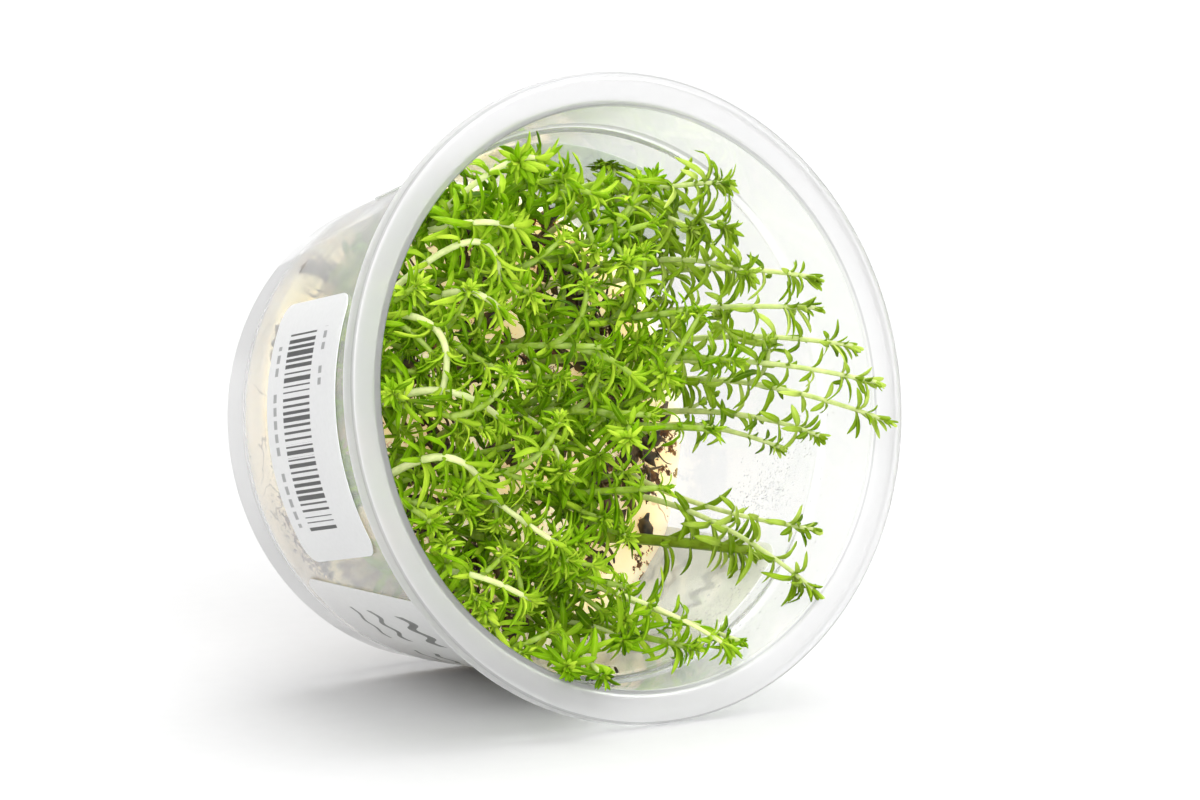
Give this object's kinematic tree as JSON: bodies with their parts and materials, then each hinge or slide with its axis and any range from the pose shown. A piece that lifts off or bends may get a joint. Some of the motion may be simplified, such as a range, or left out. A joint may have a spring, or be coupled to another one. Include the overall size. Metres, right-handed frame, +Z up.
{
  "type": "aquarium plant in a tissue culture cup",
  "caption": "Narrow-leaved aquarium plants growing from a disc of culture gel in a clear flanged cup that lies on its side, with its mouth open and plain labels on its wall.",
  "frame": {"origin": "on the surface that the cup lies on, under the middle of the whole object's box", "axes": "+Z up, -Y is the way the open mouth faces, +X to the right as one looks into the mouth"},
  "size_m": [0.0976, 0.0828, 0.0957],
  "materials": {
    "clear_plastic": "clear moulded polypropylene with a slightly frosted flange",
    "culture_gel": "wet, cloudy culture gel",
    "label_paper": "smooth coated label stock",
    "foliage": "fresh leaf with a soft waxy sheen"
  },
  "bodies": {
    "root": {"cup": "clear_plastic", "gel": "culture_gel", "label_bars": "label_paper", "label_name": "label_paper", "label_top": "label_paper", "stem_01": "foliage", "stem_02": "foliage", "stem_03": "foliage", "stem_04": "foliage", "stem_05": "foliage", "stem_06": "foliage", "stem_07": "foliage", "stem_08": "foliage", "stem_09": "foliage", "stem_10": "foliage", "stem_11": "foliage", "stem_12": "foliage", "stem_13": "foliage", "stem_14": "foliage", "stem_15": "foliage", "stem_16": "foliage", "stem_17": "foliage", "stem_18": "foliage", "stem_19": "foliage", "stem_20": "foliage", "stem_21": "foliage", "stem_22": "foliage", "stem_23": "foliage", "stem_24": "foliage", "stem_25": "foliage", "stem_26": "foliage", "stem_27": "foliage", "stem_28": "foliage", "stem_29": "foliage", "stem_30": "foliage", "stem_31": "foliage", "stem_32": "foliage", "stem_33": "foliage", "stem_34": "foliage", "stem_35": "foliage", "stem_36": "foliage", "stem_37": "foliage"}
  },
  "joints": []
}
